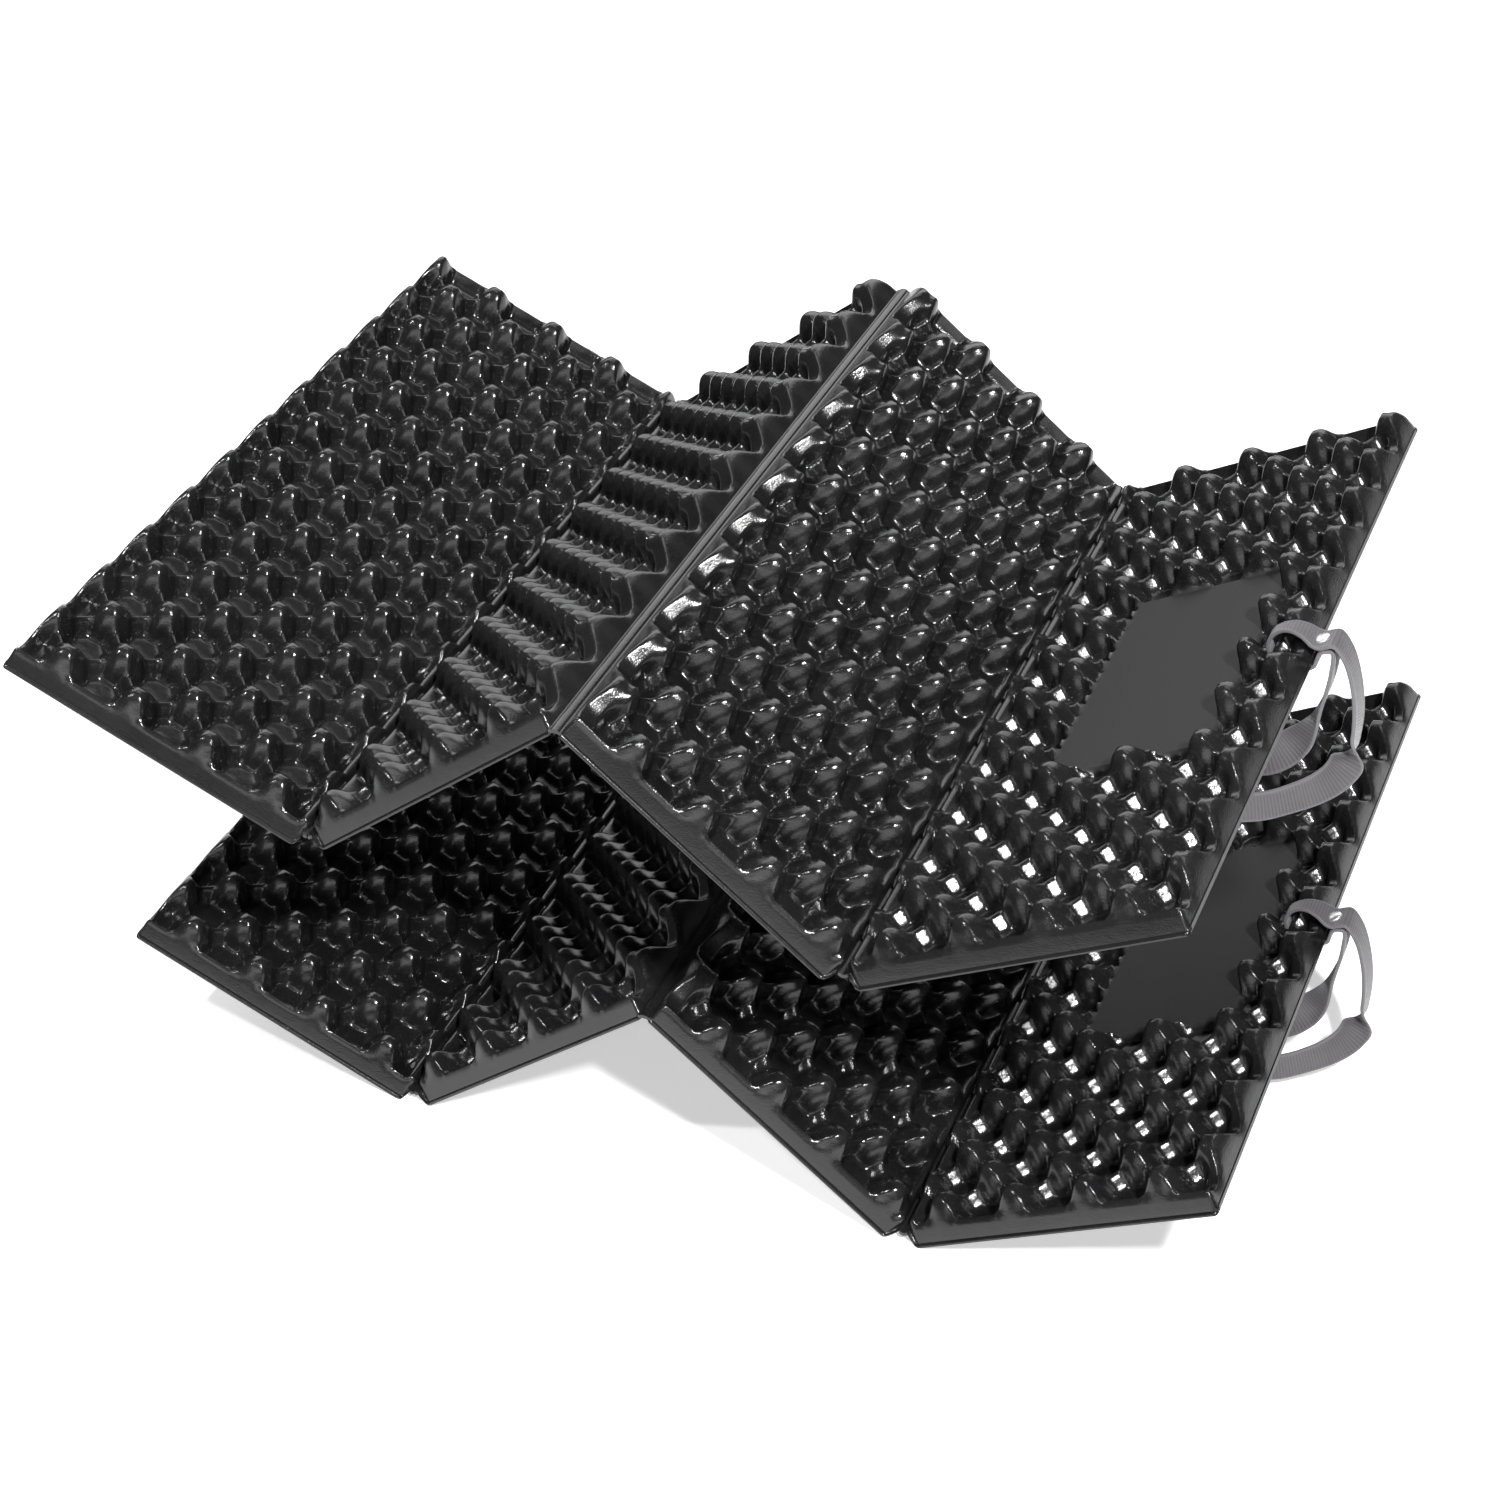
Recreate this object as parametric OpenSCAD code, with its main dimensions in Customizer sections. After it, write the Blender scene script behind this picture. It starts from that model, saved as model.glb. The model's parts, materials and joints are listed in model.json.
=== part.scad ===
// A pair of folding tyre traction mats, one held above the other.
// Each mat is one moulded rubber sheet of four studded panels that fold on three hinge webs,
// with a webbing carry loop threaded through a slot in its last panel.
// X runs across the panels, Y along the folds and Z up. The origin is on the surface that the
// lower mat stands on, under the middle of the pair.

/* [Panels] */
// Length of a mat along its folds
mat_l = 270; // [200:1:400]
// Width of an inner panel, from its valley fold to its ridge fold
inner_w = 98; // [80:1:130]
// Width of an outer panel, from its valley fold to its free edge
outer_w = 99.5; // [80:0.5:130]
// Thickness of a panel, halfway up its studs
panel_t = 8; // [7:0.5:12]
// Thickness of a panel where it meets a valley web
valley_t = 5.4; // [4:0.1:6]
// Thickness of the thin lip round a panel
lip_t = 1.5; // [1:0.1:2.5]

/* [Folds] */
// Rest angle of the first panel above the flat
first_angle = 23; // [0:1:60]
// Rest angle of the two inner panels above the flat
inner_angle = 39; // [0:1:60]
// Rest angle of the last panel above the flat
last_angle = 28; // [0:1:60]
// Width of a hinge web between two panels
web_w = 3; // [2:0.5:6]
// Thickness of a hinge web
web_t = 1.5; // [1:0.1:2.5]

/* [Pair] */
// Height of the upper mat above the lower one
upper_z = 117; // [110:1:200]
// Sideways offset of the upper mat
upper_x = -10.6; // [-30:0.1:30]
// Offset of the upper mat along the folds
upper_y = -25.4; // [-60:0.1:60]

/* [Label panel] */
// Width of the smooth label area on the last panel
label_w = 52; // [20:1:60]
// Length of the smooth label area along the folds
label_l = 98; // [40:1:160]
// Height of the label area above the underside
label_t = 4.5; // [3:0.5:6]

/* [Carry loop] */
// Width of the webbing
strap_w = 10; // [6:0.5:14]
// Thickness of the webbing
strap_t = 1.2; // [0.8:0.1:1.6]
// Place of the strap's slot across the last panel, from the valley fold
slot_u = 87.5; // [84:0.5:90]
// Place of the slot and the strap along the folds
slot_y = 133; // [60:1:200]
// Diameter of the rivet's head
rivet_d = 5; // [4:0.5:7]

/* [Hidden] */

rubber_colour = [0.06, 0.06, 0.065];
webbing_colour = [0.43, 0.41, 0.44];
rivet_colour = [0.9, 0.9, 0.9];

// A fold turns about a line this far outside the two faces that close on each other.
fold_gap = 0.3;
// A web and a panel stay this far apart.
web_gap = 0.2;
valley_pivot_w = valley_t + fold_gap;
panel_gap = web_w / 2 + web_gap;
corner_r = 2;
// The top of a panel climbs from its valley edge to its full height over this distance.
valley_ramp = 12;
edge_slope = 65;
lip_w = 1;
edge_run = (panel_t - lip_t) / tan(edge_slope);

// Height of the valley folds above the surface, where the first panel's rounded corner touches it
pivot_z = corner_r + (valley_pivot_w - corner_r) * cos(first_angle)
    - (web_gap + corner_r) * sin(first_angle);
// Half the distance between the two valleys, which the ridge stands over
half_span = inner_w * cos(inner_angle) + (valley_pivot_w + fold_gap) * sin(inner_angle);
valley_2_x = web_w + 2 * half_span;

// The strap's two layers meet flat at the rivet, just outside the panel's free edge.
rivet_u = outer_w + 3.5;
strap_end_u = outer_w + 5.6;
top_layer_w = 3.9;
under_layer_w = 2.5;
rivet_r = 1;
head_t = 1.1;
// Thickness of the rivet head's straight rim
head_rim_t = 0.4;
foot_d = 3;
foot_t = 0.6;
slot_w = 2.6;
slot_l = strap_w + 2;
tab_w = 6;
tab_l = 4;
tab_t = 1.2;
tab_u = 33;
// Where the label area starts, from the valley fold
label_u = 29;

// The origin is under the middle of the pair's box: the upper mat reaches furthest left and
// forward, and the lower mat furthest right, at its strap's end, and back, at its tab.
left_x = upper_x - web_w / 2 - outer_w * cos(first_angle) - valley_pivot_w * sin(first_angle);
right_x = valley_2_x + web_w / 2 + strap_end_u * cos(last_angle)
    + (valley_pivot_w - under_layer_w + strap_t / 2) * sin(last_angle);
middle_x = (left_x + right_x) / 2;
middle_y = (upper_y + mat_l + tab_l) / 2;

// The middle of the carry loop's webbing, from the strap's upper layer at the rivet, down and
// under the panel, and back up to the lower layer.
loop_route = [
    [260.1, 133, 52.9], [263.8, 133, 48.5], [267, 132, 41], [269, 130, 33.5], [269.8, 127, 27],
    [269.6, 123, 21.5], [267.6, 119, 17.5], [263.5, 115, 14.5], [257, 110.5, 12],
    [249.6, 106.5, 10], [241, 104, 9], [233, 103.5, 9], [227.5, 106, 10], [226, 110, 12],
    [229.5, 113.5, 14.5], [236, 115, 16.5], [243, 116, 18], [249, 118, 19.5], [253.5, 122, 22.5],
    [256.8, 126.5, 27], [258.6, 130, 32], [259.8, 132, 38], [260.3, 133, 44.5],
    [259.9, 133, 50.8]
];
// The webbing lies across Y at both ends, and stands on its edge over the middle of the loop.
twist_start = 0.08;
twist_time = 0.3;

function unit(v) = v / norm(v);
function turned(v) = [-v[1], v[0]];
function ease(t) = let (c = min(1, max(0, t))) c * c * (3 - 2 * c);

// Direction of the path at point i, halfway between its two neighbours
function along(path, i) =
    unit(path[min(i + 1, len(path) - 1)] - path[max(i - 1, 0)]);

// Outline of a flat band of thickness t that follows a plane path
function band(path, t) = concat(
    [for (i = [0:len(path) - 1]) path[i] + turned(along(path, i)) * t / 2],
    [for (i = [len(path) - 1:-1:0]) path[i] - turned(along(path, i)) * t / 2]
);

// Points of an arc about a centre, from one angle to another
function arc(centre, r, from, to, steps) =
    [for (i = [0:steps]) centre + r * [cos(from + (to - from) * i / steps),
                                       sin(from + (to - from) * i / steps)]];

// Cross-section of a panel: its distance from the valley fold, and its height over the underside
module panel_section(w, end_w) {
    start = web_gap;
    end = w - end_w;
    polygon(concat(
        arc([start + corner_r, corner_r], corner_r, 180, 270, 6),
        [
            [end, 0],
            [end, lip_t],
            [end - lip_w, lip_t],
            [end - lip_w - edge_run, panel_t],
            [valley_ramp, panel_t],
            [start, valley_t]
        ]
    ));
}

// Cross-section of a panel from its front end to its back end
module end_section() {
    polygon([
        [0, 0],
        [mat_l, 0],
        [mat_l, lip_t],
        [mat_l - lip_w, lip_t],
        [mat_l - lip_w - edge_run, panel_t],
        [lip_w + edge_run, panel_t],
        [lip_w, lip_t],
        [0, lip_t]
    ]);
}

// A panel with its valley fold on the Y axis, and its underside as far below it as it hangs
module panel(w, end_w) {
    translate([0, 0, -valley_pivot_w])
        intersection() {
            translate([0, mat_l, 0]) rotate([90, 0, 0]) linear_extrude(mat_l) panel_section(w, end_w);
            rotate([90, 0, 90]) linear_extrude(w) end_section();
        }
}

module first_panel() {
    panel(outer_w, 0);
    translate([tab_u, mat_l - 1, -valley_pivot_w]) cube([tab_w, tab_l + 1, tab_t]);
}

module inner_panel() {
    panel(inner_w, panel_gap);
}

module last_panel() {
    difference() {
        panel(outer_w, 0);
        translate([label_u, (mat_l - label_l) / 2, label_t - valley_pivot_w])
            cube([label_w, label_l, panel_t]);
        translate([slot_u - slot_w / 2, slot_y - slot_l / 2, -panel_t])
            cube([slot_w, slot_l, 2 * panel_t]);
    }
}

// Two panels of a mat turn up to the left of their valley fold, and two to the right of it.
module left_of(x, angle) {
    translate([x, 0, pivot_z]) mirror([1, 0, 0]) rotate([0, -angle, 0]) children();
}

module right_of(x, angle) {
    translate([x, 0, pivot_z]) rotate([0, -angle, 0]) children();
}

module on_last_panel() {
    right_of(valley_2_x + web_w / 2, last_angle) children();
}

module valley_web(x) {
    translate([x - web_w / 2, 0, pivot_z - fold_gap - web_t]) cube([web_w, mat_l, web_t]);
}

module ridge_web() {
    w = web_w - 2 * web_gap;
    translate([web_w / 2 + half_span - w / 2, 0, ridge_web_z()]) cube([w, mat_l, web_t]);
}

// The ridge web lies just over the line that the two inner panels turn about.
function ridge_web_z() =
    pivot_z + inner_w * sin(inner_angle) - (valley_pivot_w + fold_gap) * cos(inner_angle)
    + fold_gap + web_w / 2 * sin(inner_angle);

// The strap's short fixed part: up through the slot, over the free edge to the rivet, and back
// under the edge
module strap_anchor() {
    path = [
        [strap_end_u, top_layer_w], [rivet_u - 2.8, top_layer_w], [outer_w - 1, 6.8],
        [outer_w - 3.5, 9.4], [outer_w - 7.5, 10.4], [slot_u + 1.2, 9.8], [slot_u, 8.4],
        [slot_u, 0], [slot_u + 1.2, -1.3], [slot_u + 5, -1.5], [outer_w - 1.5, -1.2],
        [outer_w + 0.5, -1], [rivet_u - 1.9, under_layer_w], [strap_end_u, under_layer_w]
    ];
    color(webbing_colour)
        on_last_panel()
        difference() {
            translate([0, slot_y + strap_w / 2, -valley_pivot_w])
                rotate([90, 0, 0]) linear_extrude(strap_w) polygon(band(path, strap_t));
            rivet_place(-panel_t) cylinder(h = 2 * panel_t, r = rivet_r + 0.1, $fn = 32);
        }
}

module rivet_place(w) {
    translate([rivet_u, slot_y, w - valley_pivot_w]) children();
}

module rivet_cap() {
    seat = top_layer_w + strap_t / 2;
    color(rivet_colour)
        on_last_panel()
        rivet_place(seat)
        difference() {
            rotate_extrude($fn = 48)
                polygon(concat(
                    [[0, 0], [rivet_d / 2, 0], [rivet_d / 2, head_rim_t]],
                    [for (a = [15:15:90])
                        [rivet_d / 2 * cos(a), head_rim_t + (head_t - head_rim_t) * sin(a)]]
                ));
            translate([0, 0, -0.1]) cylinder(h = 0.6, r = rivet_r + 0.05, $fn = 32);
        }
}

module rivet_post() {
    foot = under_layer_w - strap_t / 2;
    tip = top_layer_w + strap_t / 2 + 0.4;
    color(rivet_colour)
        on_last_panel() {
            rivet_place(foot - foot_t) cylinder(h = foot_t, d = foot_d, $fn = 48);
            rivet_place(foot - foot_t / 2)
                cylinder(h = tip - foot + foot_t / 2, r = rivet_r, $fn = 32);
        }
}

// Across direction of the loop's webbing at a share of its length
function across(share) =
    let (a = 90 * (ease((share - twist_start) / twist_time)
                   - ease((share - 1 + twist_start + twist_time) / twist_time)))
    [0, cos(a), sin(a)];

// Eight corners of the webbing's flattened section, across and through its thickness
function strap_corners() =
    let (w = strap_w / 2, t = strap_t / 2, bevel = 0.3)
    [
        [w, -t + bevel], [w, t - bevel], [w - bevel, t], [bevel - w, t],
        [-w, t - bevel], [-w, bevel - t], [bevel - w, -t], [w - bevel, -t]
    ];

function strap_ring(i) =
    let (
        forward = along(loop_route, i),
        wanted = across(i / (len(loop_route) - 1)),
        side = unit(wanted - (wanted * forward) * forward),
        through = cross(forward, side)
    )
    [for (c = strap_corners()) loop_route[i] + c[0] * side + c[1] * through];

module strap_loop() {
    rings = len(loop_route);
    sides = len(strap_corners());
    walls = [
        for (i = [0:rings - 2])
            for (k = [0:sides - 1])
                let (
                    a = i * sides,
                    b = a + sides,
                    n = (k + 1) % sides
                )
                each [[a + k, b + k, b + n], [a + k, b + n, a + n]]
    ];
    color(webbing_colour)
        polyhedron([for (i = [0:rings - 1]) each strap_ring(i)], concat(
            walls,
            [[for (k = [0:sides - 1]) k]],
            [[for (k = [sides - 1:-1:0]) (rings - 1) * sides + k]]
        ));
}

module rubber() {
    color(rubber_colour) children();
}

// Places a piece of the lower or the upper mat in the pair.
module lower() {
    translate([-middle_x, -middle_y, 0]) children();
}

module upper() {
    translate([upper_x - middle_x, upper_y - middle_y, upper_z]) children();
}

module panel_1() { rubber() left_of(-web_w / 2, first_angle) first_panel(); }
module panel_2() { rubber() right_of(web_w / 2, inner_angle) inner_panel(); }
module panel_3() { rubber() left_of(valley_2_x - web_w / 2, inner_angle) inner_panel(); }
module panel_4() { rubber() on_last_panel() last_panel(); }
module valley_web_1() { rubber() valley_web(0); }
module valley_web_2() { rubber() valley_web(valley_2_x); }
module ridge_strip() { rubber() ridge_web(); }

lower() panel_1();  // lower_panel_1
lower() panel_2();  // lower_panel_2
lower() panel_3();  // lower_panel_3
lower() panel_4();  // lower_panel_4
lower() valley_web_1();  // lower_valley_web_1
lower() ridge_strip();  // lower_ridge_web
lower() valley_web_2();  // lower_valley_web_2
lower() strap_anchor();  // lower_strap_anchor
lower() strap_loop();  // lower_strap_loop
lower() rivet_cap();  // lower_rivet_cap
lower() rivet_post();  // lower_rivet_post
upper() panel_1();  // upper_panel_1
upper() panel_2();  // upper_panel_2
upper() panel_3();  // upper_panel_3
upper() panel_4();  // upper_panel_4
upper() valley_web_1();  // upper_valley_web_1
upper() ridge_strip();  // upper_ridge_web
upper() valley_web_2();  // upper_valley_web_2
upper() strap_anchor();  // upper_strap_anchor
upper() strap_loop();  // upper_strap_loop
upper() rivet_cap();  // upper_rivet_cap
upper() rivet_post();  // upper_rivet_post
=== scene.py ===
import json
import math

import bpy
import numpy as np
from mathutils import Matrix, Vector


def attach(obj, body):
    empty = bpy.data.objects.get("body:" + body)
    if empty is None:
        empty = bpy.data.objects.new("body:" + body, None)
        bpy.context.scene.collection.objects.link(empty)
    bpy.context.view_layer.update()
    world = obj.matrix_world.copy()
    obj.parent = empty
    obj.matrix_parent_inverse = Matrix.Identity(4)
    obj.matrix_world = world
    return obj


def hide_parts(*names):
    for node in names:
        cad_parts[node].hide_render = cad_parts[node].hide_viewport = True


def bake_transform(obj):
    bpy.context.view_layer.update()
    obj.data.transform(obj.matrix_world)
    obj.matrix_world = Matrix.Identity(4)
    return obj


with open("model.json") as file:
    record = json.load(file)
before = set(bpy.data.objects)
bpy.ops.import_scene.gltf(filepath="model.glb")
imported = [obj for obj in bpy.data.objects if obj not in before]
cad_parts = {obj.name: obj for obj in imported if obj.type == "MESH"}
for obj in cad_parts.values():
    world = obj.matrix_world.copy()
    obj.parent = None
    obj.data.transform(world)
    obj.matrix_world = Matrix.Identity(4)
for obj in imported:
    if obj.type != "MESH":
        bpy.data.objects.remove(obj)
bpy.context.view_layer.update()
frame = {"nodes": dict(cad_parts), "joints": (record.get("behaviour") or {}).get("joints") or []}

MM = 0.001
MATS = ("lower", "upper")
JOINTS = {joint["name"]: joint for joint in frame["joints"]}

# Sizes that the CAD design gives the panels, webs and strap
MAT_L = 270.0
INNER_W = 98.0
OUTER_W = 99.5
VALLEY_T = 5.4
LIP_T = 1.5
LIP_W = 1.0
WEB_W = 3.0
WEB_T = 1.5
WEB_GAP = 0.2
FOLD_GAP = 0.3
CORNER_R = 2.0
PIVOT_W = VALLEY_T + FOLD_GAP
LABEL = {"u": (29.0, 81.0), "y": (86.0, 184.0), "height": 4.5}
SLOT = {"u": (86.4, 88.6), "y": (129.8, 136.2)}
STRAP_Y = 133.0
STRAP_W = 10.0
RIVET_U = OUTER_W + 3.5
TAB = {"u": (33.0, 39.0), "length": 4.0, "thickness": 1.2, "corner": 1.2, "round": 0.35, "overlap": 0.4}

# Rest angles of the panels above the flat, from the range that each fold has left to go
FIRST_ANGLE = math.radians(-JOINTS["lower_panel_1_fold"]["range_deg"][0])
INNER_ANGLE = math.radians(-JOINTS["lower_inner_fold"]["range_deg"][0])
LAST_ANGLE = math.radians(-JOINTS["lower_last_fold"]["range_deg"][0]) - INNER_ANGLE
# The folds' pivots: the height of both, and the second valley's place across the mat
INNER_PIVOT = JOINTS["lower_inner_fold"]["pos_m"]
LAST_PIVOT = JOINTS["lower_last_fold"]["pos_m"]
PIVOT_Z = INNER_PIVOT[2] / MM
VALLEY_2_X = (LAST_PIVOT[0] - INNER_PIVOT[0]) / MM + WEB_W / 2


def mat_origin(mat):
    """Where a mat's own frame starts in the row frame, in metres."""
    inner_pivot = Vector(JOINTS[mat + "_inner_fold"]["pos_m"])
    return inner_pivot - Vector((WEB_W / 2, MAT_L / 2, PIVOT_Z)) * MM


def to_row(mat, points):
    """Points of a mat in millimetres, as points of the row frame in metres."""
    return np.asarray(points) * MM + np.array(mat_origin(mat))


def panel_points(valley_x, direction, angle, u, y, w):
    """Points at u across a panel from its valley, y along it, and w over its underside."""
    rise = w - PIVOT_W
    x = valley_x + direction * (u * math.cos(angle) - rise * math.sin(angle))
    z = PIVOT_Z + u * math.sin(angle) + rise * math.cos(angle)
    return np.stack(np.broadcast_arrays(x, y, z), axis=-1)


# ---------------------------------------------------------------- camera, light and floor
CAMERA_PLACE = (0.2825, -0.7040, 0.6276)
CAMERA_TURN = math.radians(22.74)
CAMERA_TILT = math.radians(36.15)
CAMERA_ROLL = math.radians(-0.6)
CAMERA_LENS = 70.0
# The softboxes: compass angle and height angle in degrees, distance and size in metres, watts
SOFTBOXES = (
    {"name": "key", "turn": 40, "height": 48, "distance": 1.5, "size": (0.07, 0.15), "power": 34.0},
    {"name": "side", "turn": -34, "height": 54, "distance": 1.5, "size": (0.04, 0.06), "power": 9.0},
    {"name": "back", "turn": 203, "height": 34, "distance": 1.7, "size": (2.2, 1.0), "power": 17.0},
    {"name": "top", "turn": 185, "height": 72, "distance": 1.6, "size": (0.9, 0.6), "power": 4.0},
    {"name": "fill", "turn": 8, "height": 22, "distance": 1.6, "size": (1.4, 0.5), "power": 5.0},
)
LIGHT_TARGET = Vector((0, 0, 0.09))
WORLD_LIGHT = 0.10
FLOOR_HALF = 4.0


def make_camera():
    data = bpy.data.cameras.new("camera")
    data.lens = CAMERA_LENS
    camera = bpy.data.objects.new("camera", data)
    bpy.context.scene.collection.objects.link(camera)
    camera.matrix_world = (
        Matrix.Translation(CAMERA_PLACE)
        @ Matrix.Rotation(CAMERA_TURN, 4, "Z")
        @ Matrix.Rotation(math.pi / 2 - CAMERA_TILT, 4, "X")
        @ Matrix.Rotation(CAMERA_ROLL, 4, "Z")
    )
    bpy.context.scene.camera = camera


def area_light(name, turn, height, distance, size, power):
    """A softbox at a compass angle and a height angle from the middle of the object, facing it."""
    data = bpy.data.lights.new(name, "AREA")
    data.shape = "RECTANGLE"
    data.size, data.size_y = size
    data.energy = power
    light = bpy.data.objects.new(name, data)
    bpy.context.scene.collection.objects.link(light)
    turn = math.radians(turn)
    height = math.radians(height)
    level = math.cos(height)
    away = Vector((math.sin(turn) * level, -math.cos(turn) * level, math.sin(height)))
    facing = away.to_track_quat("Z", "Y").to_matrix().to_4x4()
    light.matrix_world = Matrix.Translation(LIGHT_TARGET + away * distance) @ facing


def make_lights():
    world = bpy.data.worlds.new("studio")
    bpy.context.scene.world = world
    world.use_nodes = True
    background = world.node_tree.nodes["Background"]
    background.inputs["Color"].default_value = (1, 1, 1, 1)
    background.inputs["Strength"].default_value = WORLD_LIGHT
    for softbox in SOFTBOXES:
        area_light(**softbox)
    bpy.context.scene.view_settings.view_transform = "Standard"


def make_floor(material):
    corners = [(x * FLOOR_HALF, y * FLOOR_HALF, 0) for x, y in ((-1, -1), (1, -1), (1, 1), (-1, 1))]
    mesh = bpy.data.meshes.new("floor")
    mesh.from_pydata(corners, [], [(0, 1, 2, 3)])
    floor = bpy.data.objects.new("floor", mesh)
    bpy.context.scene.collection.objects.link(floor)
    mesh.materials.append(material)


# ---------------------------------------------------------------- materials
# Linear red, green and blue
RUBBER_DEEP = (0.0045, 0.0045, 0.0048)
RUBBER_WORN = (0.009, 0.009, 0.0094)
RUBBER_SPECK = (0.035, 0.035, 0.036)
# Painted highlight colour, laid along the crests and on the stud tops
RUBBER_PAINTED_HIGHLIGHT = (0.032, 0.032, 0.033)
# Matte colour of the label area, and painted fill light on the border band
RUBBER_MATTE_AND_PAINTED_LIGHT = (0.0085, 0.0085, 0.0088)
# Painted shade in the webbing's grooves and painted light on its ribs
WEBBING_SHADED_GROOVE = (0.03, 0.028, 0.031)
WEBBING_LIT_RIB = (0.07, 0.066, 0.073)
WEBBING_WORN = (0.085, 0.081, 0.088)
WEBBING_SELVEDGE = (0.13, 0.126, 0.134)
METAL_DULL = (0.72, 0.72, 0.73)
METAL_BRIGHT = (0.9, 0.9, 0.9)
FLOOR_GREY = (0.86, 0.86, 0.86)
FLOOR_PALE = (0.9, 0.9, 0.9)


class Nodes:
    """A material's node tree, with short calls for the nodes used here."""

    def __init__(self, name):
        self.material = bpy.data.materials.new(name)
        self.material.use_nodes = True
        self.tree = self.material.node_tree
        self.shader = self.tree.nodes["Principled BSDF"]
        self.place = self.tree.nodes.new("ShaderNodeTexCoord").outputs["Object"]

    def link(self, source, target):
        self.tree.links.new(source, target)

    def set(self, **values):
        for name, value in values.items():
            self.shader.inputs[name.replace("_", " ")].default_value = value

    def noise(self, scale, detail=3.0):
        node = self.tree.nodes.new("ShaderNodeTexNoise")
        node.inputs["Scale"].default_value = scale
        node.inputs["Detail"].default_value = detail
        self.link(self.place, node.inputs["Vector"])
        return node.outputs["Fac"]

    def attribute(self, name):
        node = self.tree.nodes.new("ShaderNodeAttribute")
        node.attribute_name = name
        return node.outputs["Fac"]

    def ramp(self, factor, low, high, start=0.0, end=1.0):
        """A value that runs from low to high as factor goes from start to end."""
        node = self.tree.nodes.new("ShaderNodeMapRange")
        node.inputs["From Min"].default_value = start
        node.inputs["From Max"].default_value = end
        node.inputs["To Min"].default_value = low
        node.inputs["To Max"].default_value = high
        self.link(factor, node.inputs["Value"])
        return node.outputs["Result"]

    def mix(self, factor, a, b):
        """A mix of two colours, each a colour or a socket."""
        node = self.tree.nodes.new("ShaderNodeMix")
        node.data_type = "RGBA"
        self.link(factor, node.inputs["Factor"])
        for name, value in (("A", a), ("B", b)):
            socket = [s for s in node.inputs if s.name == name and s.type == "RGBA"][0]
            if isinstance(value, tuple):
                socket.default_value = (*value, 1)
            else:
                self.link(value, socket)
        return [s for s in node.outputs if s.type == "RGBA"][0]

    def calculate(self, kind, a, b):
        node = self.tree.nodes.new("ShaderNodeMath")
        node.operation = kind
        for socket, value in zip(node.inputs, (a, b)):
            if isinstance(value, (int, float)):
                socket.default_value = value
            else:
                self.link(value, socket)
        return node.outputs["Value"]

    def bump(self, height, strength, distance, normal=None):
        node = self.tree.nodes.new("ShaderNodeBump")
        node.inputs["Strength"].default_value = strength
        node.inputs["Distance"].default_value = distance
        self.link(height, node.inputs["Height"])
        if normal:
            self.link(normal, node.inputs["Normal"])
        return node.outputs["Normal"]


def rubber_material():
    """Glossy moulded rubber: uneven black, pale specks, a painted highlight on the crests and stud
    tops, a matte label area, and a matte border band whose lighter colour is painted fill light.
    """
    n = Nodes("moulded_rubber")
    patches = n.ramp(n.noise(scale=45.0), 0.0, 1.0, start=0.35, end=0.65)
    colour = n.mix(patches, RUBBER_DEEP, RUBBER_WORN)
    specks = n.ramp(n.noise(scale=1900.0, detail=2.0), 0.0, 1.0, start=0.58, end=0.72)
    colour = n.mix(n.calculate("MULTIPLY", specks, 0.35), colour, RUBBER_SPECK)
    # Painted highlight: a lighter colour along the border crests and on the stud tops
    colour = n.mix(n.calculate("MULTIPLY", n.attribute("crest_highlight"), 0.4), colour, RUBBER_PAINTED_HIGHLIGHT)
    # Matte label area, and the border band, whose lighter matte colour there is painted fill light
    colour = n.mix(n.attribute("matte"), colour, RUBBER_MATTE_AND_PAINTED_LIGHT)
    n.link(colour, n.shader.inputs["Base Color"])
    gloss = n.ramp(n.noise(scale=130.0), 0.13, 0.22, start=0.3, end=0.7)
    matte = n.calculate("MULTIPLY", n.attribute("matte"), 0.7)
    n.link(n.calculate("MAXIMUM", gloss, matte), n.shader.inputs["Roughness"])
    grain = n.bump(n.noise(scale=2400.0, detail=2.0), strength=0.22, distance=0.00025)
    swell = n.bump(n.noise(scale=240.0, detail=2.0), strength=0.06, distance=0.0008, normal=grain)
    n.link(swell, n.shader.inputs["Normal"])
    return n.material


def webbing_material():
    """Grey ribbed webbing, with painted shade in the grooves and painted light on the ribs, paler
    selvedges and the fine twill of its threads.
    """
    n = Nodes("ribbed_webbing")
    # Painted shade and light: darker in the grooves and lighter on the ribs, in step with their relief
    colour = n.mix(n.attribute("rib"), WEBBING_SHADED_GROOVE, WEBBING_LIT_RIB)
    wear = n.ramp(n.noise(scale=70.0), 0.0, 0.5, start=0.35, end=0.7)
    colour = n.mix(wear, colour, WEBBING_WORN)
    selvedge = n.ramp(n.attribute("across"), 0.0, 1.0, start=0.8, end=0.95)
    colour = n.mix(n.calculate("MULTIPLY", selvedge, 0.6), colour, WEBBING_SELVEDGE)
    n.link(colour, n.shader.inputs["Base Color"])
    n.link(n.ramp(n.noise(scale=900.0), 0.55, 0.8), n.shader.inputs["Roughness"])
    threads = n.bump(n.noise(scale=5200.0, detail=2.0), strength=0.5, distance=0.0002)
    n.link(threads, n.shader.inputs["Normal"])
    n.set(Sheen_Weight=0.25, Sheen_Roughness=0.5)
    return n.material


def rivet_material():
    """Bright plated metal with faint handling marks."""
    n = Nodes("plated_rivet")
    n.link(n.mix(n.noise(scale=700.0), METAL_DULL, METAL_BRIGHT), n.shader.inputs["Base Color"])
    n.link(n.ramp(n.noise(scale=1500.0), 0.18, 0.38), n.shader.inputs["Roughness"])
    marks = n.bump(n.noise(scale=2600.0), strength=0.12, distance=0.0001)
    n.link(marks, n.shader.inputs["Normal"])
    n.set(Metallic=0.85)
    return n.material


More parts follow.
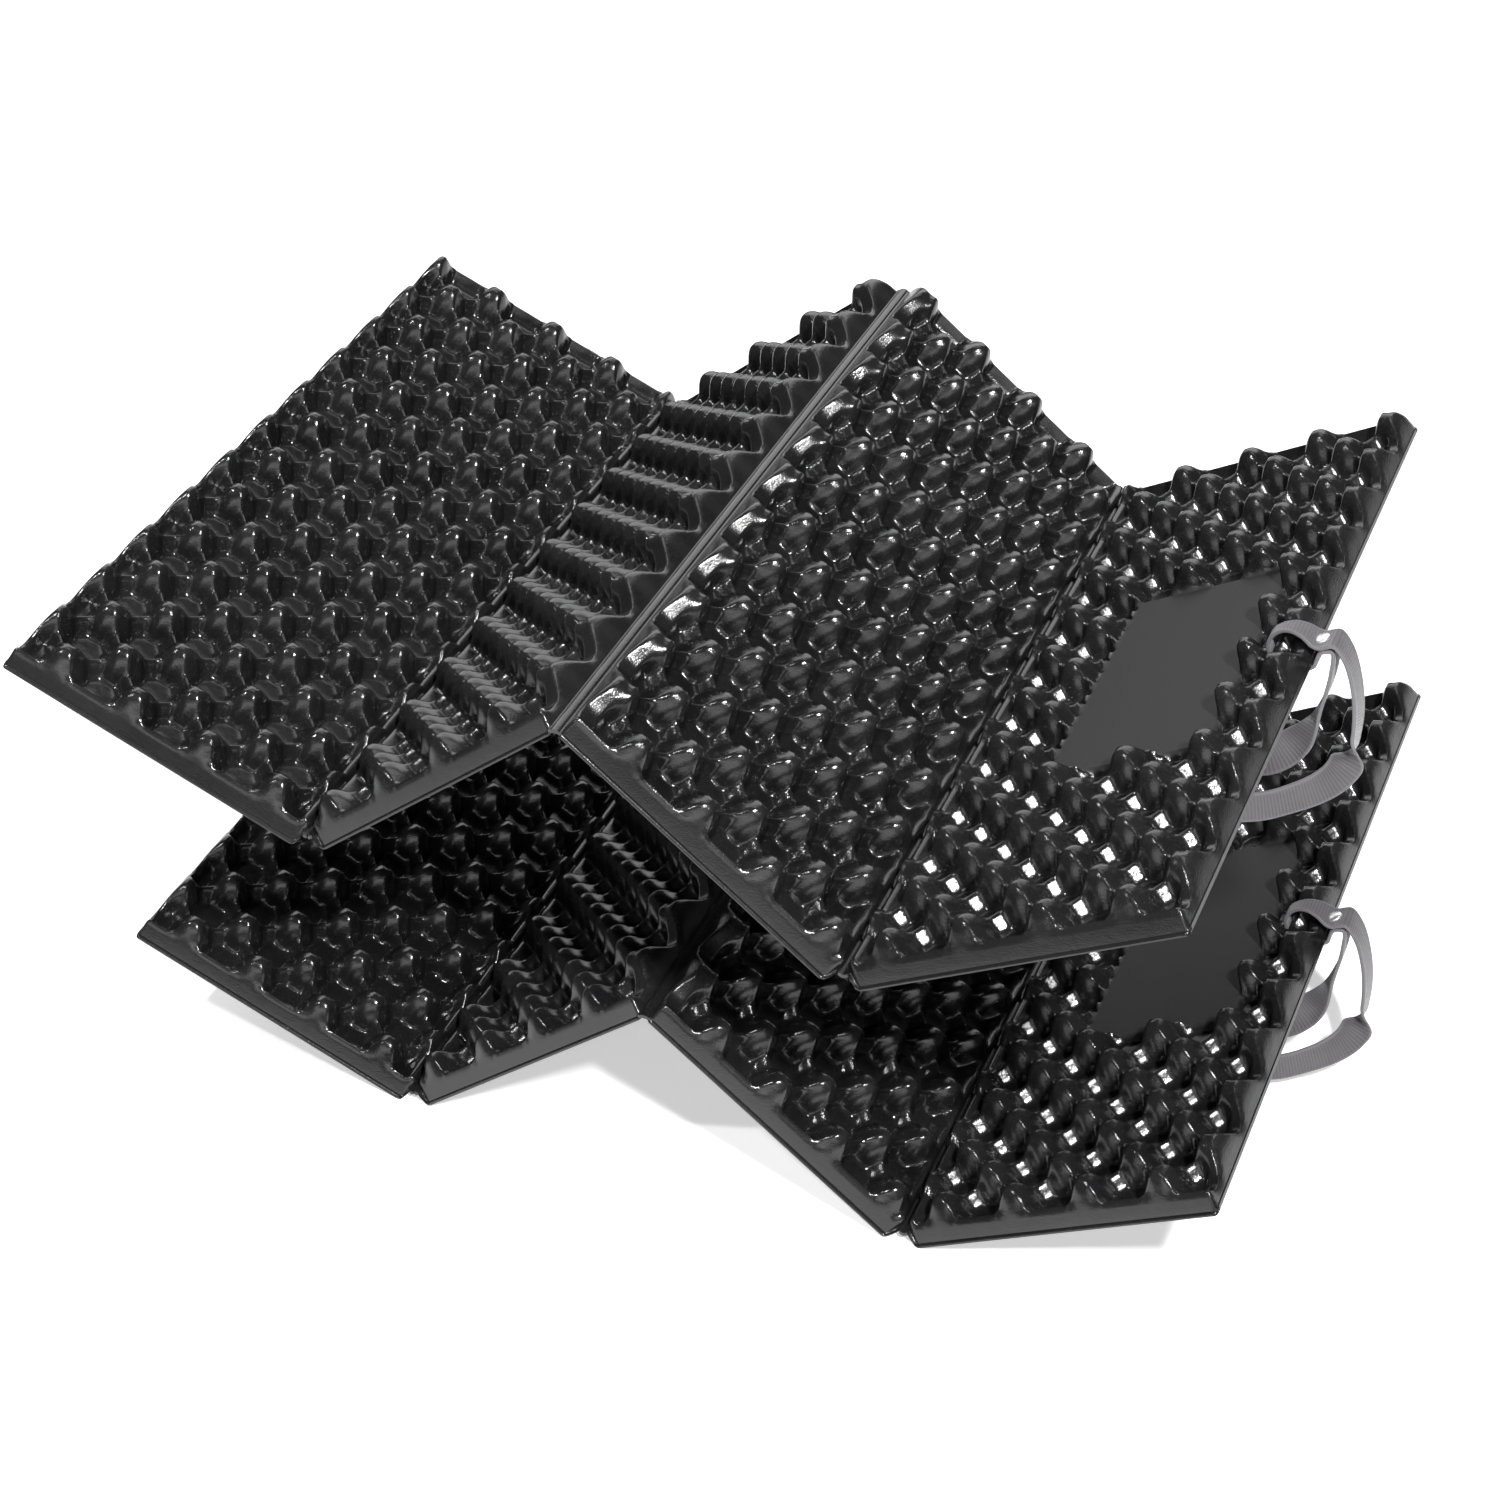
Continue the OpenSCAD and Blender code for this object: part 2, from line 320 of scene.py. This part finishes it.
def floor_material():
    n = Nodes("pale_floor")
    n.link(n.mix(n.noise(scale=3.0), FLOOR_GREY, FLOOR_PALE), n.shader.inputs["Base Color"])
    n.set(Roughness=0.9, Emission_Color=(1, 1, 1, 1), Emission_Strength=0.5)
    return n.material


# ---------------------------------------------------------------- meshes
SHARP_ANGLE = math.radians(75)
# Distances of the extra grid lines from each edge of a panel, where its lip and seam are
EDGE_LINES = (0.3, 0.65, 1.0, 1.35, 1.8)


def link_mesh(name, points, faces, material):
    mesh = bpy.data.meshes.new(name)
    mesh.from_pydata(points, [], faces)
    mesh.update()
    mesh.polygons.foreach_set("use_smooth", [True] * len(mesh.polygons))
    mesh.set_sharp_from_angle(angle=SHARP_ANGLE)
    mesh.materials.append(material)
    piece = bpy.data.objects.new(name, mesh)
    bpy.context.scene.collection.objects.link(piece)
    return piece


def set_attribute(piece, name, values):
    attribute = piece.data.attributes.new(name, "FLOAT", "POINT")
    attribute.data.foreach_set("value", np.asarray(values, np.float32))


def slab(name, mat, top, bottom, material, open_cells=None):
    """A closed solid between two grids of points, with a hole where open_cells is true.
    Also says which points of the two grids are still used."""
    rows, columns = top.shape[:2]
    size = rows * columns
    kept = np.ones((rows - 1, columns - 1), bool)
    if open_cells is not None:
        kept &= ~open_cells
    index = np.arange(size).reshape(rows, columns)
    corners = [index[:-1, :-1], index[1:, :-1], index[1:, 1:], index[:-1, 1:]]
    quads = np.stack(corners, -1)[kept]
    under = quads[:, ::-1] + size
    # An edge that no other cell has the other way round is on a rim, and gets a wall
    edges = np.concatenate([quads[:, [k, (k + 1) % 4]] for k in range(4)])
    forward = edges[:, 0] * size + edges[:, 1]
    backward = edges[:, 1] * size + edges[:, 0]
    rim = edges[~np.isin(forward, backward)]
    walls = np.stack([rim[:, 1], rim[:, 0], rim[:, 0] + size, rim[:, 1] + size], -1)
    faces = np.concatenate([quads, under, walls])
    points = to_row(mat, np.concatenate([top.reshape(-1, 3), bottom.reshape(-1, 3)]))
    used = np.zeros(len(points), bool)
    used[faces.ravel()] = True
    renumber = np.cumsum(used) - 1
    piece = link_mesh(name, points[used].tolist(), renumber[faces].tolist(), material)
    return piece, used


def lines(start, end, step, stops=()):
    """Grid lines from start to end, with a line on every stop and close ones at both ends."""
    near_start = [start + distance for distance in EDGE_LINES]
    near_end = [end - distance for distance in EDGE_LINES]
    stops = sorted({start, end, *stops, *near_start, *near_end})
    parts = []
    for low, high in zip(stops[:-1], stops[1:]):
        count = max(1, round((high - low) / step))
        parts.append(np.linspace(low, high, count, endpoint=False))
    return np.concatenate([*parts, [end]])


# ---------------------------------------------------------------- studded panels
# Columns along the mat and half-rows across it are one PITCH apart. A stud stands on every other
# crossing of the two, and a pit on those between
PITCH = 12.0
DIAGONAL = PITCH * math.sqrt(2)
FIRST_ROW = 9.0
FIRST_COLUMNS = {1: 0.9, 2: 7.0, 3: 7.0, 4: 11.0}
LAST_COLUMNS = {1: 96.9, 2: 91.0, 3: 91.0, 4: 95.0}
ROW_SHIFTS = {1: 1, 2: 0, 3: 0, 4: 0}
FLOOR_H = 1.9
STUD_H = 9.9
STUD_R = 7.2
STUD_POWER = 2.3
# The necks that join neighbouring studs, and the rim that closes the pits at the edges
NECK_H = 5.2
NECK_W = 2.0
RIM_H = 5.8
RIM_W = 2.6
RIM_IN = {"front": 2.6, "valley": 1.2}
JOIN_POWER = 3.0
# The last studs run on to the free edge, or to the ridge, as a row of broad bulges
EDGE_STRETCH = 0.9
BULGE_MID_H = 7.6
BULGE_WAVE_H = 3.6
BULGE_START = 2.5
BULGE_END = 1.0
# The border: a thin rounded lip, a seam, and a slope up to the studs
LIP_H = LIP_T - 0.4
LIP_EDGE_T = 0.5
LIP_ROUND = 0.6
SEAM = {"at": 0.85, "depth": 0.25, "width": 0.16}
BORDER_SLOPE = math.tan(math.radians(66))
CREST_ROUND = 2.2
# The rounded fall from the studs to the free edge, or to the ridge
SIDE_ROUND_W = 6.0
SIDE_ROUND_H = 11.2
SIDE_RISE = 4.0
# The fall to the valley, and how far a panel's skin reaches over the webs beside it
VALLEY_EDGE_H = VALLEY_T + 0.3
VALLEY_SLOPE = 1.7
VALLEY_ROUND = 1.6
VALLEY_REACH = 0.9
VALLEY_TUCK = VALLEY_T - 0.7 - CORNER_R
RIDGE_REACH = 0.8
# The underside: a cup under each stud, with a skin at least this thick over it
CUP_DEPTH = 8.6
CUP_SHARE = (0.15, 0.9)
SKIN_T = 1.9
# The smooth label area and the hollow seat round the slot. The cups fade out under both
LABEL_FADE = 0.8
LABEL_CUP_FADE = 3.0
SEAT_MARGIN = {"u": 2.6, "y": 2.2}
SEAT_H = 5.2
SEAT_FADE = 2.2
SEAT_CUP_FADE = 2.0
# Looks: the painted highlight on the crests and stud tops, the matte border with its painted
# lightening, and the slow unevenness of the moulding
CREST_BAND = 1.2
CREST_SHARE = (0.8, 1.0)
STUD_TOP_HIGHLIGHT = 0.3
BAND_MATTE_AND_PAINTED_LIGHT = 0.3
DRIFT_H = 0.12
DRIFT_LENGTHS = {"u": 17.0, "y": 31.0}
GRID_STEP = 0.7
VALLEY_CORNER_R = 2.2
OUTER_CORNER_R = 1.2


def smoothstep(low, high, value):
    t = np.clip((value - low) / (high - low), 0, 1)
    return t * t * (3 - 2 * t)


def soft_min(a, b, radius):
    """The lower of two heights, rounded over where they cross."""
    h = np.clip(radius - np.abs(a - b), 0, None) / radius
    return np.minimum(a, b) - h * h * radius / 4


def inside(u, y, box, fade):
    """1 inside a box of the panel, 0 outside it, with a fade inwards from its edge."""
    across = np.minimum(u - box["u"][0], box["u"][1] - u)
    along = np.minimum(y - box["y"][0], box["y"][1] - y)
    return smoothstep(0, fade, np.minimum(across, along))


def grown(box, margin_u, margin_y):
    """A box of the panel with a margin added all round."""
    return {
        "u": (box["u"][0] - margin_u, box["u"][1] + margin_u),
        "y": (box["y"][0] - margin_y, box["y"][1] + margin_y),
    }


def fading(distance, width):
    """1 up to a distance of 0, then a soft fall to 0."""
    return np.exp(-(np.clip(distance, 0, None) / width) ** 2)


def studs(u, y, front, number):
    """Height of the studs at each place, and how near it is to the top of a stud, from 0 to 1.
    Studs and pits alternate, and each stud is joined to its four diagonal neighbours by necks."""
    column = (u - FIRST_COLUMNS[number]) / PITCH
    last = (LAST_COLUMNS[number] - FIRST_COLUMNS[number]) / PITCH
    column = column - EDGE_STRETCH * np.clip(column - last, 0, None)
    row = (y - FIRST_ROW) / PITCH + ROW_SHIFTS[number]
    off_a = (column + row) / 2
    off_b = (column - row) / 2
    off_a = DIAGONAL * (off_a - np.round(off_a))
    off_b = DIAGONAL * (off_b - np.round(off_b))
    share = np.clip(1 - (np.hypot(off_a, off_b) / STUD_R) ** STUD_POWER, 0, 1)
    neck = fading(np.minimum(np.abs(off_a), np.abs(off_b)), NECK_W)
    rim = np.maximum(fading(front - RIM_IN["front"], RIM_W), fading(u - RIM_IN["valley"], RIM_W))
    low = np.maximum(NECK_H * neck, RIM_H * rim)
    height = FLOOR_H + ((STUD_H * share) ** JOIN_POWER + low ** JOIN_POWER) ** (1 / JOIN_POWER)
    bulges = BULGE_MID_H + BULGE_WAVE_H * np.cos(math.pi * (row + last))
    last_u = LAST_COLUMNS[number]
    at_edge = smoothstep(last_u - BULGE_START, last_u + BULGE_END, u) * smoothstep(0, FIRST_ROW, front)
    return height + at_edge * (bulges - height), share


def corner_inset(distance, radius):
    """How far a rounded corner pulls the front edge in, at a distance from the side edge."""
    reach = np.clip(radius - distance, 0, radius)
    return radius - np.sqrt(radius * radius - reach * reach)


def panel_grid(width, stops_u, stops_y):
    """Places across and along a panel, drawn in at its rounded corners."""
    u = lines(-VALLEY_REACH, width, GRID_STEP, stops_u)[:, None]
    share = lines(0.0, MAT_L, GRID_STEP, stops_y)[None, :] / MAT_L
    inset = corner_inset(u + VALLEY_REACH, VALLEY_CORNER_R) + corner_inset(width - u, OUTER_CORNER_R)
    y = inset + share * (MAT_L - 2 * inset)
    front = np.minimum(y - inset, MAT_L - inset - y)
    return np.broadcast_to(u, y.shape), y, front


def border_height(distance):
    """Height of the front and back borders: a rounded lip, a seam, and a slope."""
    lip = LIP_EDGE_T + (LIP_H - LIP_EDGE_T) * smoothstep(0, LIP_ROUND, distance)
    seam = SEAM["depth"] * np.exp(-((distance - SEAM["at"]) / SEAM["width"]) ** 2)
    return lip - seam + np.clip(distance - LIP_W, 0, None) * BORDER_SLOPE


def side_height(distance):
    """Height of a panel's rounded fall to its free edge or to the ridge."""
    share = np.clip(distance / SIDE_ROUND_W, 0, 1)
    return LIP_H + SIDE_ROUND_H * np.sqrt(1 - (1 - share) ** 2) + SIDE_RISE * share


def cut_label(u, y, top, cup):
    """Sinks the smooth label area and the hollow round the slot into the last panel's studs."""
    seat = grown(SLOT, SEAT_MARGIN["u"], SEAT_MARGIN["y"])
    sunk = inside(u, y, seat, SEAT_FADE)
    top = top * (1 - sunk) + np.minimum(top, SEAT_H) * sunk
    matte = inside(u, y, LABEL, LABEL_FADE)
    top = top * (1 - matte) + LABEL["height"] * matte
    under_label = inside(u, y, grown(LABEL, LABEL_CUP_FADE, LABEL_CUP_FADE), LABEL_CUP_FADE)
    cup = cup * (1 - np.maximum(under_label, inside(u, y, seat, SEAT_CUP_FADE)))
    return top, cup, matte


def label_stops(axis):
    """Where grid lines have to run, along one axis, for clean edges to the label area and slot."""
    low, high = LABEL[axis]
    return low, high, low + LABEL_FADE, high - LABEL_FADE, *SLOT[axis]


def slot_cells(u, y):
    """The cells of a panel's grid that are in the slot."""
    middle_u = (u[1:, 1:] + u[:-1, :-1]) / 2
    middle_y = (y[1:, 1:] + y[:-1, :-1]) / 2
    return inside(middle_u, middle_y, SLOT, 0.01) > 0.5


def panel_top(u, y, front, side, number):
    """Height of a panel's top, how hollow its underside is, where it gets a painted highlight, and
    where it is matte or painted lighter.
    """
    top, share = studs(u, y, front, number)
    top = top + DRIFT_H * np.sin(y / DRIFT_LENGTHS["y"] + number) * np.cos(u / DRIFT_LENGTHS["u"])
    cup = CUP_DEPTH * smoothstep(*CUP_SHARE, share)
    matte = np.zeros_like(top)
    if number == 4:
        top, cup, matte = cut_label(u, y, top, cup)
    border = np.minimum(border_height(front), side_height(side))
    # Painted highlight mask: along the line where the studs meet the border, and on the stud tops
    crest_highlight = np.clip(1 - np.abs(top - border) / CREST_BAND, 0, 1)
    crest_highlight = np.maximum(crest_highlight, smoothstep(*CREST_SHARE, share) * STUD_TOP_HIGHLIGHT) * (1 - matte)
    # The border band is made matte, and its lighter colour there is painted fill light
    matte = np.maximum(matte, BAND_MATTE_AND_PAINTED_LIGHT * np.clip(top - border_height(front), 0, 1))
    top = soft_min(top, border, CREST_ROUND)
    top = soft_min(top, VALLEY_EDGE_H + (u + VALLEY_REACH) * VALLEY_SLOPE, VALLEY_ROUND)
    return top, cup, crest_highlight, matte


def panel_bottom(u, top, cup):
    """Height of a panel's underside, which curls up and tucks in over the valley's web."""
    bottom = np.clip(np.minimum(cup, top - SKIN_T), 0, None)
    curl = np.clip(CORNER_R + WEB_GAP - u, 0, CORNER_R)
    bottom = np.maximum(bottom, CORNER_R - np.sqrt(CORNER_R ** 2 - curl ** 2))
    tuck = np.clip(WEB_GAP - u, 0, None) / (WEB_GAP + VALLEY_REACH)
    return bottom + tuck * VALLEY_TUCK


def make_panel(mat, number, place, width, material):
    """A studded panel. place is its valley's x, the way it runs from there, and its angle."""
    has_label = number == 4
    stops_u = label_stops("u") if has_label else ()
    stops_y = label_stops("y") if has_label else ()
    u, y, front = panel_grid(width, stops_u, stops_y)
    to_ridge = number in (2, 3)
    side = width - u - (0 if to_ridge else LIP_EDGE_T)
    top, cup, crest_highlight, matte = panel_top(u, y, front, side, number)
    bottom = panel_bottom(u, top, cup)
    top = np.maximum(top, bottom + LIP_EDGE_T)
    holes = slot_cells(u, y) if has_label else None
    grids = [panel_points(*place, u, y, top), panel_points(*place, u, y, bottom), crest_highlight, matte]
    # A panel that runs to the left is a mirror image, so it is turned to keep its faces outwards
    if place[1] < 0:
        grids = [grid[::-1] for grid in grids]
    piece, used = slab(f"{mat}_studs_{number}", mat, grids[0], grids[1], material, holes)
    for name, values in (("crest_highlight", grids[2]), ("matte", grids[3])):
        both_sides = np.concatenate([values.ravel(), np.zeros(values.size)])
        set_attribute(piece, name, both_sides[used])
    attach(piece, f"{mat}_panel_{number}")
    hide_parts(f"{mat}_panel_{number}")


def make_panels(mat, material):
    half = WEB_W / 2
    to_ridge = INNER_W - half - WEB_GAP + RIDGE_REACH
    make_panel(mat, 1, (-half, -1, FIRST_ANGLE), OUTER_W, material)
    make_panel(mat, 2, (half, 1, INNER_ANGLE), to_ridge, material)
    make_panel(mat, 3, (VALLEY_2_X - half, -1, INNER_ANGLE), to_ridge, material)
    make_panel(mat, 4, (VALLEY_2_X + half, 1, LAST_ANGLE), OUTER_W, material)


def make_tab(mat, material):
    """The small flat tab on the back edge of the first panel."""
    low, high = TAB["u"]
    u = np.linspace(low, high, 17)[:, None]
    share = np.linspace(0, 1, 13)[None, :]
    inset = corner_inset(u - low, TAB["corner"]) + corner_inset(high - u, TAB["corner"])
    y = MAT_L - TAB["overlap"] + share * (TAB["length"] + TAB["overlap"] - inset)
    edge = np.minimum(np.minimum(u - low, high - u), MAT_L + TAB["length"] - inset - y)
    top = TAB["thickness"] - TAB["round"] + TAB["round"] * smoothstep(0, LIP_ROUND, edge)
    place = (-WEB_W / 2, -1, FIRST_ANGLE)
    top_points = panel_points(*place, u, y, top)[::-1]
    bottom_points = panel_points(*place, u, y, np.zeros_like(top))[::-1]
    piece = slab(f"{mat}_tab", mat, top_points, bottom_points, material)[0]
    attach(piece, f"{mat}_panel_1")


# ---------------------------------------------------------------- hinge webs
# The webs are drawn a little thinner than their solids, and tucked in under the panels beside them
STRIP_T = WEB_T - 0.3
STRIP_HALF = WEB_W / 2 + 0.3
STRIP_END_ROUND = 0.8
STRIP_ROWS = 181
VALLEY_STRIP_Z = PIVOT_Z - FOLD_GAP - 0.35
VALLEY_STRIP_DIP = 0.4
# Where each strip starts and ends along the mat. The second valley's shows past the back edge
FIRST_VALLEY_ENDS = (1.2, MAT_L - 0.3)
SECOND_VALLEY_ENDS = (1.2, MAT_L + 1.6)
RIDGE_ENDS = (0.2, MAT_L - 0.2)
RIDGE_OVERLAP = 0.15
RIDGE_CROWN = 1.1
RIDGE_SINK = 0.05
CREASE = {"at": 0.55, "depth": 0.28, "width": 0.1}


def web_strip(name, mat, profile, ends, material):
    """A hinge web: a cross-section of (x, z) points, run along the fold, with rounded ends."""
    share = np.linspace(0, 1, STRIP_ROWS)[None, :]
    x = profile[:, 0][:, None]
    half = (x.max() - x.min()) / 2
    off_middle = np.abs(x - (x.max() + x.min()) / 2) / half
    inset = STRIP_END_ROUND * off_middle ** 3
    y = ends[0] + inset + share * (ends[1] - ends[0] - 2 * inset)
    z = np.broadcast_to(profile[:, 1][:, None], y.shape)
    top = np.stack(np.broadcast_arrays(x, y, z), -1)
    bottom = top - np.array([0, 0, STRIP_T])
    return slab(name, mat, top, bottom, material)[0]


def valley_profile(low, high, middle, count):
    """The cross-section of a valley's strip from x = low to high, lowest in the valley's middle."""
    x = np.linspace(low, high, count)
    return np.stack([x, VALLEY_STRIP_Z - VALLEY_STRIP_DIP * np.cos(math.pi * (x - middle) / WEB_W)], -1)


def blend_strip(piece):
    """Bakes a strip's placement into its points."""
    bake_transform(piece)


def make_first_valley(mat, material):
    """The first valley's strip, in two halves, because both panels beside it turn on the base."""
    for name, low, high, bodies in (
        ("left", -STRIP_HALF, 0.0, ("panel_1", "base")),
        ("right", 0.0, STRIP_HALF, ("base", "panel_2")),
    ):
        profile = valley_profile(low, high, 0.0, 7)
        piece = web_strip(f"{mat}_valley_strip_{name}", mat, profile, FIRST_VALLEY_ENDS, material)
        blend_strip(piece)
        if name == "left":
            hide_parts(f"{mat}_valley_web_1")


def make_second_valley(mat, material):
    low = VALLEY_2_X - STRIP_HALF
    high = VALLEY_2_X + STRIP_HALF
    profile = valley_profile(low, high, VALLEY_2_X, 13)
    piece = web_strip(f"{mat}_valley_strip_2", mat, profile, SECOND_VALLEY_ENDS, material)
    blend_strip(piece)
    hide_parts(f"{mat}_valley_web_2")


def make_ridge(mat, material):
    """The strip over the ridge, between the lips of the inner panels, with two creases."""
    lip_u = INNER_W - WEB_W / 2 - WEB_GAP
    lip = panel_points(WEB_W / 2, 1, INNER_ANGLE, np.array(lip_u), np.array(0.0), np.array(LIP_T))
    middle = VALLEY_2_X / 2
    half = middle - lip[0] + RIDGE_OVERLAP
    t = np.linspace(-1, 1, 25)
    crown = RIDGE_CROWN * (1 - t * t)
    crease = CREASE["depth"] * np.exp(-((np.abs(t) - CREASE["at"]) / CREASE["width"]) ** 2)
    profile = np.stack([middle + t * half, lip[2] - RIDGE_SINK + crown - crease], -1)
    piece = web_strip(f"{mat}_ridge_strip", mat, profile, RIDGE_ENDS, material)
    blend_strip(piece)
    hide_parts(f"{mat}_ridge_web")


# ---------------------------------------------------------------- carry loop
# The strap's part on the panel: from under the edge, up through the slot and over to the rivet
OVER_EDGE = [
    (95.0, -1.4), (91.5, -1.5), (88.7, -1.3), (87.5, 0.2), (87.4, 4.6), (88.2, 7.6), (90.4, 9.9),
    (93.6, 10.8), (96.8, 10.2), (99.6, 7.9), (101.2, 5.4), (103.0, 4.0), (105.1, 3.9)
]
# The loop, as part.scad routes it
LOOP = [
    (260.1, 133, 52.9), (263.8, 133, 48.5), (267, 132, 41), (269, 130, 33.5), (269.8, 127, 27),
    (269.6, 123, 21.5), (267.6, 119, 17.5), (263.5, 115, 14.5), (257, 110.5, 12),
    (249.6, 106.5, 10), (241, 104, 9), (233, 103.5, 9), (227.5, 106, 10), (226, 110, 12),
    (229.5, 113.5, 14.5), (236, 115, 16.5), (243, 116, 18), (249, 118, 19.5), (253.5, 122, 22.5),
    (256.8, 126.5, 27), (258.6, 130, 32), (259.8, 132, 38), (260.3, 133, 44.5),
    (259.9, 133, 50.8)
]
# Back from the loop to the rivet's foot and under the edge
UNDER_EDGE = [(104.6, 2.5), (102.6, 2.4), (100.9, 0.6), (99.4, -1.1), (95.8, -1.4)]
# The webbing's quarter twist, and its twist back at the loop's other end, as shares of the loop
TWIST_START = 0.08
TWIST_TIME = 0.3
# The webbing is gathered to this share of its width at the slot, and widens again between these
# two points of its route
GATHER = 0.45
WIDENING = (6.5, 10.5)
# Heights over the last panel's underside, at the rivet, meant for where the webbing would start to
# follow the loop's swing, where it would follow it fully, and where a cord would start. make_strap
# works these points out but does not use them
SWING_START_W = -2.6
SWING_END_W = -12.0
CORD_START_W = 3.2
# Places across the webbing, as shares of half its width: half its thickness there, and how ribbed
ACROSS = np.array([-1, -0.985, -0.93, -0.86, -0.5, 0, 0.5, 0.86, 0.93, 0.985, 1])
HALF_T = np.array([0.12, 0.4, 0.56, 0.44, 0.46, 0.46, 0.46, 0.44, 0.56, 0.4, 0.12])
RIBBED = np.array([0, 0, 0, 0.8, 1, 1, 1, 0.8, 0, 0, 0])
RIB_H = 0.13
RIB_PITCH = 0.95
RING_STEP = 0.22
SPLINE_STEPS = 40


def on_last_panel(u, w, y=STRAP_Y):
    return panel_points(VALLEY_2_X + WEB_W / 2, 1, LAST_ANGLE, np.array(u), np.array(y), np.array(w))


def smooth_path(points, step):
    """A curve through the points, as places one step apart. Also says how many of the points
    each place is past, and how far along the curve it is."""
    points = np.asarray(points, float)
    padded = np.concatenate([[2 * points[0] - points[1]], points, [2 * points[-1] - points[-2]]])
    fine = []
    knots = []
    for k in range(len(points) - 1):
        p0, p1, p2, p3 = padded[k:k + 4]
        t1 = np.linalg.norm(p1 - p0) ** 0.5
        t2 = t1 + np.linalg.norm(p2 - p1) ** 0.5
        t3 = t2 + np.linalg.norm(p3 - p2) ** 0.5
        t = np.linspace(t1, t2, SPLINE_STEPS, endpoint=False)[:, None]
        a1 = (t1 - t) / t1 * p0 + t / t1 * p1
        a2 = (t2 - t) / (t2 - t1) * p1 + (t - t1) / (t2 - t1) * p2
        a3 = (t3 - t) / (t3 - t2) * p2 + (t - t2) / (t3 - t2) * p3
        b1 = (t2 - t) / t2 * a1 + t / t2 * a2
        b2 = (t3 - t) / (t3 - t1) * a2 + (t - t1) / (t3 - t1) * a3
        fine.append((t2 - t) / (t2 - t1) * b1 + (t - t1) / (t2 - t1) * b2)
        knots.append(k + np.linspace(0, 1, SPLINE_STEPS, endpoint=False))
    fine = np.concatenate([*fine, [points[-1]]])
    knots = np.concatenate([*knots, [len(points) - 1]])
    travel = np.concatenate([[0], np.cumsum(np.linalg.norm(np.diff(fine, axis=0), axis=1))])
    wanted = np.linspace(0, travel[-1], round(travel[-1] / step) + 1)
    places = np.stack([np.interp(wanted, travel, fine[:, k]) for k in range(3)], -1)
    return places, np.interp(wanted, travel, knots), wanted


def ease(value):
    return smoothstep(0, 1, value)


def unit(vectors):
    return vectors / np.linalg.norm(vectors, axis=-1, keepdims=True)


def strap_sides(centres, share):
    """The way across the webbing and the way through it, at each place of its path."""
    turn = math.pi / 2 * (
        ease((share - TWIST_START) / TWIST_TIME)
        - ease((share - 1 + TWIST_START + TWIST_TIME) / TWIST_TIME)
    )
    wanted = np.stack([np.zeros_like(turn), np.cos(turn), np.sin(turn)], -1)
    forward = unit(np.gradient(centres, axis=0))
    side = unit(wanted - (wanted * forward).sum(-1, keepdims=True) * forward)
    return side, np.cross(forward, side)


def strap_rings(centres, knots, share, rib):
    """A closed ring of points round the webbing at each place of its path."""
    side, through = strap_sides(centres, share)
    width = STRAP_W * (GATHER + (1 - GATHER) * smoothstep(*WIDENING, knots))
    spread = (ACROSS[None, :] * width[:, None] / 2)[..., None] * side[:, None]
    lift = HALF_T[None, :] + RIB_H * RIBBED[None, :] * rib[:, None]
    upper = centres[:, None] + spread + lift[..., None] * through[:, None]
    lower = centres[:, None] + spread - lift[..., None] * through[:, None]
    return np.concatenate([upper, lower[:, ::-1]], axis=1)


def make_strap(mat, material):
    """The webbing, from under the edge, through the slot and round the loop to its other end."""
    over = [on_last_panel(u, w) for u, w in OVER_EDGE]
    under = [on_last_panel(u, w) for u, w in UNDER_EDGE]
    centres, knots, travel = smooth_path([*over, *LOOP, *under], RING_STEP)
    share = (knots - len(over)) / (len(LOOP) - 1)
    rib = 0.5 + 0.5 * np.cos(2 * math.pi * travel / RIB_PITCH)
    rings = strap_rings(centres, knots, share, rib)
    count, sides = rings.shape[:2]
    index = np.arange(count * sides).reshape(count, sides)
    following = np.roll(index, -1, axis=1)
    walls = np.stack([index[:-1], index[1:], following[1:], following[:-1]], -1).reshape(-1, 4)
    faces = [*walls.tolist(), index[0].tolist(), index[-1][::-1].tolist()]
    points = to_row(mat, rings.reshape(-1, 3)).tolist()
    piece = link_mesh(f"{mat}_webbing", points, faces, material)
    across = np.abs(np.concatenate([ACROSS, ACROSS[::-1]]))
    set_attribute(piece, "across", np.tile(across, count))
    set_attribute(piece, "rib", np.repeat(rib, sides))
    start = to_row(mat, on_last_panel(RIVET_U, SWING_START_W))
    end = to_row(mat, on_last_panel(RIVET_U, SWING_END_W))
    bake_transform(piece)
    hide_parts(f"{mat}_strap_anchor", f"{mat}_strap_loop")
    exit_point = to_row(mat, on_last_panel(RIVET_U, CORD_START_W))


# ---------------------------------------------------------------- the object
def dress_rivet(mat, material):
    """Gives the CAD's own rivet its metal."""
    for part in ("rivet_cap", "rivet_post"):
        node = frame["nodes"][f"{mat}_{part}"]
        node.data.materials.clear()
        node.data.materials.append(material)


make_camera()
make_lights()
make_floor(floor_material())
webbing = webbing_material()
rubber = rubber_material()
rivet_metal = rivet_material()
for mat in MATS:
    make_strap(mat, webbing)
for mat in MATS:
    make_panels(mat, rubber)
    make_tab(mat, rubber)
    make_first_valley(mat, rubber)
    make_second_valley(mat, rubber)
    make_ridge(mat, rubber)
    dress_rivet(mat, rivet_metal)
